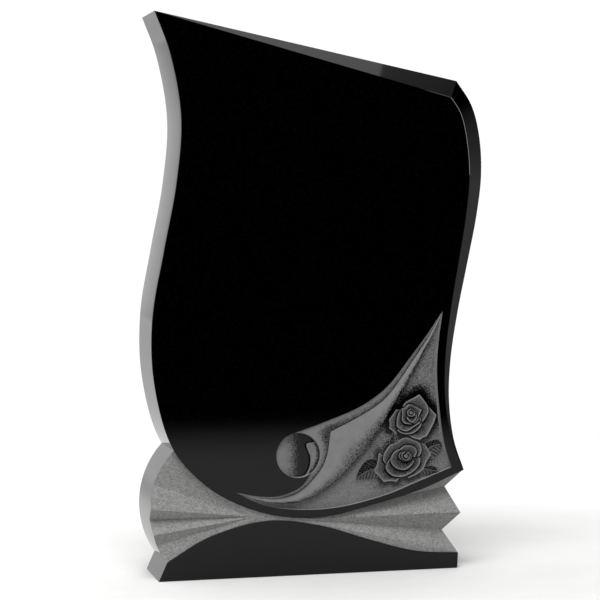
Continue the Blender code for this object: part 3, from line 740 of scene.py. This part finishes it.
class Block:
    """The closed block, gathered face by face with each face's finish and each corner's tone."""

    def __init__(self):
        self.flat, self.triangles, self.owner = weave_net()
        self.depths = {}
        self.tones = {}
        self.levels = {}
        self.corners = []
        self.numbers = {}
        self.faces = []
        self.finishes = []
        self.face_tones = []
        for number, area in enumerate(areas):
            used = np.unique(self.triangles[self.owner == number])
            if len(used) == 0:
                continue
            depths, tones = area["surface"](self.flat[used])
            for i, depth, tone in zip(used.tolist(), depths.round(ROUNDING).tolist(), tones.tolist()):
                self.depths[(i, number)] = depth
                self.tones[(i, number)] = tone
                self.levels.setdefault(i, set()).add(depth)
        self.lay_front()
        self.lay_back(self.join_areas())

    def corner(self, i, depth):
        if (i, depth) not in self.numbers:
            self.numbers[(i, depth)] = len(self.corners)
            self.corners.append((self.flat[i][0], depth, self.flat[i][1]))
        return self.numbers[(i, depth)]

    def add(self, corners, finish, tones):
        self.faces.append(corners)
        self.finishes.append(finish)
        self.face_tones += tones

    def climb(self, i, start, end):
        """The corners met going from one depth to another at one point of the front."""
        low, high = min(start, end), max(start, end)
        stops = sorted({d for d in self.levels[i] if low < d < high} | {low, high})
        if start > end:
            stops.reverse()
        return [self.corner(i, d) for d in stops]

    def wall(self, a, b, starts, ends, finish, tone):
        """Upright facets over the side from a to b, between two depths at each end."""
        first = self.climb(a, starts[0], ends[0])
        second = self.climb(b, starts[1], ends[1])
        i = j = 0
        while i + 1 < len(first) or j + 1 < len(second):
            if j + 1 >= len(second) or (i + 1 < len(first) and i * len(second) <= j * len(first)):
                self.add((first[i], first[i + 1], second[j]), finish, [tone] * 3)
                i += 1
            else:
                self.add((first[i], second[j + 1], second[j]), finish, [tone] * 3)
                j += 1

    def lay_front(self):
        for (a, b, c), number in zip(self.triangles.tolist(), self.owner.tolist()):
            corners = tuple(self.corner(i, self.depths[(i, number)]) for i in (a, b, c))
            self.add(corners, areas[number]["finish"], [self.tones[(i, number)] for i in (a, b, c)])

    def join_areas(self):
        """Walls wherever two areas meet at different depths. Returns the sides of the stone's outline."""
        owners = {}
        for (a, b, c), number in zip(self.triangles.tolist(), self.owner.tolist()):
            for start, end in ((a, b), (b, c), (c, a)):
                owners.setdefault((min(start, end), max(start, end)), []).append((start, end, number))
        rim = {}
        for sides in owners.values():
            start, end, number = sides[0]
            if len(sides) == 1:
                rim[start] = (end, number)
                continue
            other = sides[1][2]
            if number == other:
                continue
            finishes = {areas[number]["finish"], areas[other]["finish"]}
            finish = ETCHED if finishes & {ETCHED, FINELY_ETCHED} else POLISHED
            starts = (self.depths[(start, number)], self.depths[(end, number)])
            ends = (self.depths[(start, other)], self.depths[(end, other)])
            self.wall(start, end, starts, ends, finish, 1.0)
        return rim

    def lay_back(self, rim):
        """The sides of the stone, the eased arris round its back, and the flat back."""
        first = min(rim)
        chain = [first]
        while rim[chain[-1]][0] != first:
            chain.append(rim[chain[-1]][0])
        back_rim = round(THICKNESS - ARRIS, ROUNDING)
        loop = self.flat[chain]
        drawn_in = inset_loop(loop, ARRIS)
        start_of_back = len(self.corners)
        self.corners += [(x, THICKNESS, z) for x, z in drawn_in]
        ring = []
        for place, (i, j) in enumerate(zip(chain, chain[1:] + chain[:1])):
            number = rim[i][1]
            on_foot = max(self.flat[i][1], self.flat[j][1]) < SAME_PLACE
            finish = SAWN if on_foot else POLISHED
            self.levels[i].add(back_rim)
            self.levels[j].add(back_rim)
            depths = (self.depths[(i, number)], self.depths[(j, number)])
            self.wall(i, j, depths, (back_rim, back_rim), finish, 0.0)
            a, b = self.corner(i, back_rim), self.corner(j, back_rim)
            inner_a = start_of_back + place
            inner_b = start_of_back + (place + 1) % len(chain)
            ring += [(a, inner_a, b), (b, inner_a, inner_b)]
        for corners in ring:
            self.add(corners, POLISHED, [0.0] * 3)
        sides = [(i, (i + 1) % len(chain)) for i in range(len(chain))]
        corners = [Vector(point) for point in drawn_in]
        _, _, triangles, _, _, _ = delaunay_2d_cdt(corners, sides, [], 1, NET_TOLERANCE)
        for a, b, c in triangles:
            pa, pb, pc = drawn_in[a], drawn_in[b], drawn_in[c]
            turn = (pb[0] - pa[0]) * (pc[1] - pa[1]) - (pb[1] - pa[1]) * (pc[0] - pa[0])
            if turn > 0.0:
                b, c = c, b
            self.add(tuple(start_of_back + i for i in (a, b, c)), SAWN, [0.0] * 3)


def block_mesh():
    """The block as a mesh in the frame's place, with its finishes and tones as attributes."""
    block = Block()
    places = np.array(block.corners)
    left_end = outline[:, 0].min()
    fit = (stone_high.x - stone_low.x - 2 * CLEARANCE) / np.ptp(outline[:, 0])
    places[:, 0] = stone_low.x + CLEARANCE + (places[:, 0] - left_end) * fit
    places += (0.0, stone_low.y, stone_low.z)
    mesh = bpy.data.meshes.new("headstone_block")
    mesh.from_pydata(places.tolist(), [], block.faces)
    mesh.attributes.new("finish", "INT", "FACE").data.foreach_set("value", block.finishes)
    mesh.attributes.new("tone", "FLOAT", "CORNER").data.foreach_set("value", block.face_tones)
    tooled = np.zeros(len(places))
    others = np.zeros(len(places))
    for face, finish in zip(block.faces, block.finishes):
        for i in face:
            if finish == TOOLED:
                tooled[i] = 1.0
            else:
                others[i] = 1.0
    mesh.attributes.new("tooled", "FLOAT", "POINT").data.foreach_set("value", tooled * (1.0 - others))
    mesh.shade_smooth()
    mesh.set_sharp_from_angle(angle=SHARP_ANGLE)
    mesh.update()
    return mesh


# Materials

MATH = "ShaderNodeMath"
RANGE = "ShaderNodeMapRange"
SMOOTH = {"interpolation_type": "SMOOTHSTEP"}


def linear(code):
    """An sRGB hex colour as linear light."""
    values = [int(code[i:i + 2], 16) / 255 for i in (0, 2, 4)]
    return [v / 12.92 if v <= 0.04045 else ((v + 0.055) / 1.055) ** 2.4 for v in values] + [1.0]


def add(tree, kind, settings=None, **links):
    """A node with its settings, and its inputs set to values or linked from nodes or sockets.

    A word alone is the node's operation. A colour ramp's two stops are pairs of place and hex colour. An
    input goes by its name, or by its number as i0 or i1. A node that is linked gives its first output.
    """
    node = tree.nodes.new(kind)
    if isinstance(settings, str):
        settings = {"operation": settings}
    for name, value in (settings or {}).items():
        if name == "stops":
            for stop, (place, code) in zip(node.color_ramp.elements, value):
                stop.position = place
                stop.color = linear(code)
        else:
            setattr(node, name, value)
    for name, value in links.items():
        socket = node.inputs[int(name[1:]) if name[1:].isdigit() else name.replace("_", " ")]
        if isinstance(value, bpy.types.Node):
            value = value.outputs[0]
        if isinstance(value, bpy.types.NodeSocket):
            tree.links.new(value, socket)
        else:
            socket.default_value = value
    return node


def new_surface(name):
    """A material, its empty node tree and the object coordinates."""
    material = bpy.data.materials.new(name)
    material.use_nodes = True
    tree = material.node_tree
    tree.nodes.clear()
    place = add(tree, "ShaderNodeTexCoord").outputs["Object"]
    return material, tree, place


def polished_black_granite():
    """Polished black gabbro: near black, mirror smooth, with faint grey crystals a few millimetres wide."""
    material, tree, place = new_surface("polished_black_granite")
    crystals = add(tree, "ShaderNodeTexVoronoi", Vector=place, Scale=1 / (3.5 * MM)).outputs["Color"]
    fleck = add(tree, "ShaderNodeTexNoise", Vector=place, Scale=1 / (6 * MM), Detail=4.0)
    shade = add(tree, MATH, "MULTIPLY", i0=crystals, i1=fleck)
    colour = add(tree, "ShaderNodeValToRGB", {"stops": [(0.15, "000000"), (0.75, "050506")]}, Fac=shade)
    gloss = add(tree, RANGE, Value=fleck, To_Min=0.03, To_Max=0.06)
    surface = add(tree, "ShaderNodeBsdfPrincipled", Base_Color=colour, Roughness=gloss, IOR=1.34)
    add(tree, "ShaderNodeOutputMaterial", Surface=surface)
    return material


def bush_hammered_granite():
    """The same stone bush-hammered: bruised light grey, with darker and lighter grains."""
    material, tree, place = new_surface("bush_hammered_granite")
    grain = add(tree, "ShaderNodeTexVoronoi", Vector=place, Scale=1 / (1.7 * MM)).outputs["Color"]
    single = add(tree, "ShaderNodeSeparateColor", Color=grain)
    cloud = add(tree, "ShaderNodeTexNoise", Vector=place, Scale=1 / (8 * MM), Detail=5.0, Roughness=0.7)
    shade = add(tree, MATH, "MULTIPLY", i0=cloud, i1=0.4)
    shade = add(tree, MATH, "MULTIPLY_ADD", i0=single, i1=0.6, i2=shade)
    colour = add(tree, "ShaderNodeValToRGB", {"stops": [(0.15, "6c6c6b"), (0.85, "989897")]}, Fac=shade)
    bumps = add(tree, "ShaderNodeBump", Strength=0.5, Distance=0.4 * MM, Height=shade)
    surface = add(tree, "ShaderNodeBsdfPrincipled",
                  Base_Color=colour, Roughness=0.85, IOR=1.45, Normal=bumps)
    add(tree, "ShaderNodeOutputMaterial", Surface=surface)
    return material


def etched_black_granite(name, softness):
    """Pecked and blasted drawing on the polish: pale dots stand closer where the tone is lighter.

    The softer the pecking, the more the dots run into each other.
    """
    material, tree, place = new_surface(name)
    tone = add(tree, "ShaderNodeAttribute", {"attribute_name": "tone"}).outputs["Fac"]
    # The real dots are a third of a millimetre; here they are drawn coarse enough to show
    dots = add(tree, "ShaderNodeTexVoronoi", Vector=place, Scale=1 / (1.25 * MM)).outputs["Color"]
    chance = add(tree, "ShaderNodeSeparateColor", Color=dots)
    wanted = add(tree, RANGE, {"clamp": False}, Value=tone, To_Min=-softness, To_Max=1 + softness)
    margin = add(tree, MATH, "SUBTRACT", i0=wanted, i1=chance)
    pecked = add(tree, RANGE, SMOOTH, Value=margin, From_Min=-softness, From_Max=softness)
    cloud = add(tree, "ShaderNodeTexNoise", Vector=place, Scale=1 / (14 * MM), Detail=4.0)
    light = add(tree, "ShaderNodeValToRGB", {"stops": [(0.3, "747474"), (0.7, "7c7c7c")]}, Fac=cloud)
    colour = add(tree, "ShaderNodeMix", {"data_type": "RGBA"}, i0=pecked, i6=linear("030303"), i7=light)
    rough = add(tree, RANGE, Value=pecked, From_Max=0.5, To_Min=0.06, To_Max=0.7)
    bumps = add(tree, "ShaderNodeBump", Strength=0.25, Distance=0.3 * MM, Height=pecked)
    surface = add(tree, "ShaderNodeBsdfPrincipled",
                  Base_Color=colour.outputs[2], Roughness=rough, IOR=1.36, Normal=bumps)
    add(tree, "ShaderNodeOutputMaterial", Surface=surface)
    return material


def sawn_granite():
    """The back and the foot as the saw left them: dark grey, dull, with faint level saw lines."""
    material, tree, place = new_surface("sawn_granite")
    lines = add(tree, "ShaderNodeTexWave", {"bands_direction": "Z"}, Vector=place, Scale=1 / (20 * MM),
                Distortion=1.5, Detail=3.0, Detail_Scale=2.0).outputs["Fac"]
    grain = add(tree, "ShaderNodeTexNoise", Vector=place, Scale=1 / (2.5 * MM), Detail=4.0)
    shade = add(tree, MATH, "MULTIPLY", i0=lines, i1=0.2)
    shade = add(tree, MATH, "MULTIPLY_ADD", i0=grain, i1=0.8, i2=shade)
    colour = add(tree, "ShaderNodeValToRGB", {"stops": [(0.25, "2b2b2c"), (0.75, "4a4a4b")]}, Fac=shade)
    bumps = add(tree, "ShaderNodeBump", Strength=0.3, Distance=0.3 * MM, Height=shade)
    surface = add(tree, "ShaderNodeBsdfPrincipled",
                  Base_Color=colour, Roughness=0.5, IOR=1.45, Normal=bumps)
    add(tree, "ShaderNodeOutputMaterial", Surface=surface)
    return material


def tooling_tree(materials):
    """Bruises the bush-hammered band with tool marks along its normals and gives each face its finish."""
    tree = bpy.data.node_groups.new("tooled_stone", "GeometryNodeTree")
    tree.interface.new_socket("Geometry", in_out="OUTPUT", socket_type="NodeSocketGeometry")
    tree.interface.new_socket("Geometry", in_out="INPUT", socket_type="NodeSocketGeometry")
    for name in TOOL_MARKS:
        tree.interface.new_socket(name, in_out="INPUT", socket_type="NodeSocketFloat")
    given = tree.nodes.new("NodeGroupInput").outputs
    where = add(tree, "GeometryNodeInputPosition")
    scale = add(tree, MATH, "DIVIDE", i0=1.0, i1=given["Mark Spacing"])
    marks = add(tree, "ShaderNodeTexNoise", {"noise_dimensions": "4D"}, Vector=where, W=given["Seed"],
                Scale=scale, Detail=1.0)
    height = add(tree, MATH, "SUBTRACT", i0=marks, i1=0.5)
    height = add(tree, MATH, "MULTIPLY", i0=height, i1=given["Mark Depth"])
    tooled = add(tree, "GeometryNodeInputNamedAttribute", {"data_type": "FLOAT"}, Name="tooled")
    height = add(tree, MATH, "MULTIPLY", i0=height, i1=tooled)
    normal = add(tree, "GeometryNodeInputNormal")
    offset = add(tree, "ShaderNodeVectorMath", "SCALE", Vector=normal, Scale=height)
    stone = add(tree, "GeometryNodeSetPosition", Geometry=given["Geometry"], Offset=offset)
    stone = add(tree, "GeometryNodeRealizeInstances", Geometry=stone)
    finish = add(tree, "GeometryNodeInputNamedAttribute", {"data_type": "INT"}, Name="finish")
    for number, material in enumerate(materials):
        chosen = add(tree, "FunctionNodeCompare", {"data_type": "INT", "operation": "EQUAL"},
                     i2=finish, i3=number)
        stone = add(tree, "GeometryNodeSetMaterial", Geometry=stone, Selection=chosen, Material=material)
    add(tree, "NodeGroupOutput", Geometry=stone)
    return tree


def put_in_scene(name, data):
    thing = bpy.data.objects.new(name, data)
    bpy.context.scene.collection.objects.link(thing)
    return thing


def make_headstone():
    """The block with its tool marks and finishes, made a plain mesh that takes the solid's place."""
    raw = put_in_scene("headstone_raw", block_mesh())
    finishes = [
        polished_black_granite(),
        bush_hammered_granite(),
        etched_black_granite("etched_black_granite", softness=0.7),
        etched_black_granite("finely_etched_black_granite", softness=1.7),
        sawn_granite(),
    ]
    tree = tooling_tree(finishes)
    tooling = raw.modifiers.new("tooling", "NODES")
    tooling.node_group = tree
    for item in tree.interface.items_tree:
        if item.name in TOOL_MARKS:
            tooling[item.identifier] = TOOL_MARKS[item.name]
    evaluated = raw.evaluated_get(bpy.context.evaluated_depsgraph_get())
    mesh = bpy.data.meshes.new_from_object(evaluated)
    mesh.name = "headstone_stone"
    stone = put_in_scene("headstone_stone", mesh)
    bpy.data.objects.remove(raw, do_unlink=True)
    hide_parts("headstone")
    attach(stone, "root")


# The place it stands in: a pale floor that runs out into a white surround, dark in front and to the right

def studio_floor():
    """A matt floor that glows a little behind the stone and fades out on all sides."""
    mesh = bpy.data.meshes.new("studio_floor")
    reach = 8.0
    corners = [(-reach, -reach, 0), (reach, -reach, 0), (reach, reach, 0), (-reach, reach, 0)]
    mesh.from_pydata(corners, [], [(0, 1, 2, 3)])
    floor = put_in_scene("studio_floor", mesh)
    floor.location.z = -0.2 * MM
    material, tree, place = new_surface("pale_matt_floor")
    x, y, _ = add(tree, "ShaderNodeSeparateXYZ", Vector=place).outputs
    grain = add(tree, "ShaderNodeTexNoise", Vector=place, Scale=8.0, Detail=3.0)
    colour = add(tree, "ShaderNodeValToRGB", {"stops": [(0.3, "d2d2d1"), (0.7, "d6d6d5")]}, Fac=grain)
    glow = add(tree, RANGE, SMOOTH, Value=y, From_Min=-0.2, From_Max=1.0, To_Max=0.28)
    surface = add(tree, "ShaderNodeBsdfPrincipled", Base_Color=colour, Roughness=0.9,
                  Emission_Color=linear("ffffff"), Emission_Strength=glow)
    front = add(tree, RANGE, SMOOTH, Value=y, From_Min=-1.65, From_Max=-2.66)
    behind = add(tree, RANGE, SMOOTH, Value=y, From_Min=0.5, From_Max=2.4)
    wide = add(tree, MATH, "ABSOLUTE", i0=x)
    beside = add(tree, RANGE, SMOOTH, Value=wide, From_Min=1.6, From_Max=3.6)
    gone = add(tree, MATH, "MAXIMUM", i0=front, i1=behind)
    gone = add(tree, MATH, "MAXIMUM", i0=gone, i1=beside)
    clear = add(tree, "ShaderNodeBsdfTransparent")
    mixed = add(tree, "ShaderNodeMixShader", i0=gone, i1=surface, i2=clear)
    add(tree, "ShaderNodeOutputMaterial", Surface=mixed)
    mesh.materials.append(material)


def studio_surround():
    """White behind, to the left and overhead; dark in front and to the right, lighter low at the right."""
    world = bpy.data.worlds.new("studio_surround")
    bpy.context.scene.world = world
    world.use_nodes = True
    tree = world.node_tree
    tree.nodes.clear()
    way = add(tree, "ShaderNodeTexCoord").outputs["Generated"]
    toward_white = Vector((-0.75, 0.55, 0.35)).normalized()
    lit = add(tree, "ShaderNodeVectorMath", "DOT_PRODUCT", i0=way, i1=toward_white).outputs["Value"]
    lit = add(tree, RANGE, SMOOTH, Value=lit, From_Min=-0.10, From_Max=0.13)
    x, _, z = add(tree, "ShaderNodeSeparateXYZ", Vector=way).outputs
    level = add(tree, RANGE, SMOOTH, Value=z, From_Min=-0.06, From_Max=0.03, To_Min=0.92, To_Max=1.14)
    left = add(tree, RANGE, SMOOTH, Value=x, From_Min=0.05, From_Max=-0.1)
    white = add(tree, "ShaderNodeMix", {"data_type": "FLOAT"}, i0=left, i2=1.03, i3=level)
    lit = add(tree, MATH, "MULTIPLY", i0=lit, i1=white)
    low = add(tree, RANGE, Value=z, From_Min=0.42, From_Max=-0.02)
    low = add(tree, MATH, "POWER", i0=low, i1=1.6)
    right = add(tree, RANGE, SMOOTH, Value=x, From_Min=0.45, From_Max=0.75, To_Max=0.36)
    dim = add(tree, MATH, "MULTIPLY", i0=low, i1=right)
    total = add(tree, MATH, "MAXIMUM", i0=lit, i1=dim)
    shade = add(tree, "ShaderNodeBackground", Color=linear("ffffff"), Strength=total)
    add(tree, "ShaderNodeOutputWorld", Surface=shade)


def softbox(name, place, target, width, height, power):
    data = bpy.data.lights.new(name, "AREA")
    data.shape = "RECTANGLE"
    data.size = width
    data.size_y = height
    data.energy = power
    lamp = put_in_scene(name, data)
    lamp.location = place
    lamp.rotation_euler = (Vector(target) - Vector(place)).to_track_quat("-Z", "Y").to_euler()
    return lamp


def studio_camera():
    """Left of square on and a little above the middle, about three and a half metres away."""
    data = bpy.data.cameras.new("studio_camera")
    data.lens = 115.2
    data.sensor_width = 36.0
    camera = put_in_scene("studio_camera", data)
    camera.location = (-0.87149, -3.31192 + stone_low.y, 0.65953)
    camera.rotation_euler = (math.radians(87.227), 0.0, math.radians(-14.077))
    bpy.context.scene.camera = camera


make_headstone()
studio_floor()
studio_surround()
# The key lights the stone without showing as a reflection in its arrises
key = softbox("key_softbox", (-0.5, -1.2, 2.95), (0.0, 0.0, 0.35), 1.6, 1.2, 92)
key.visible_glossy = False
softbox("overhead_softbox", (0.22, 0.25, 2.5), (0.22, 0.25, 0.0), 1.6, 0.8, 5)
# These two show only as reflections, in the arris inside the chamfer
for glint in (
    softbox("right_strip", (2.2, -1.05, 1.37), (0.2, 0.0, 0.8), 0.4, 1.26, 18),
    softbox("upper_strip", (1.2, -1.07, 2.13), (0.25, 0.0, 0.87), 0.3, 0.5, 2),
):
    glint.visible_diffuse = False
studio_camera()
bpy.context.scene.view_settings.view_transform = "Standard"
bpy.context.scene.view_settings.look = "None"
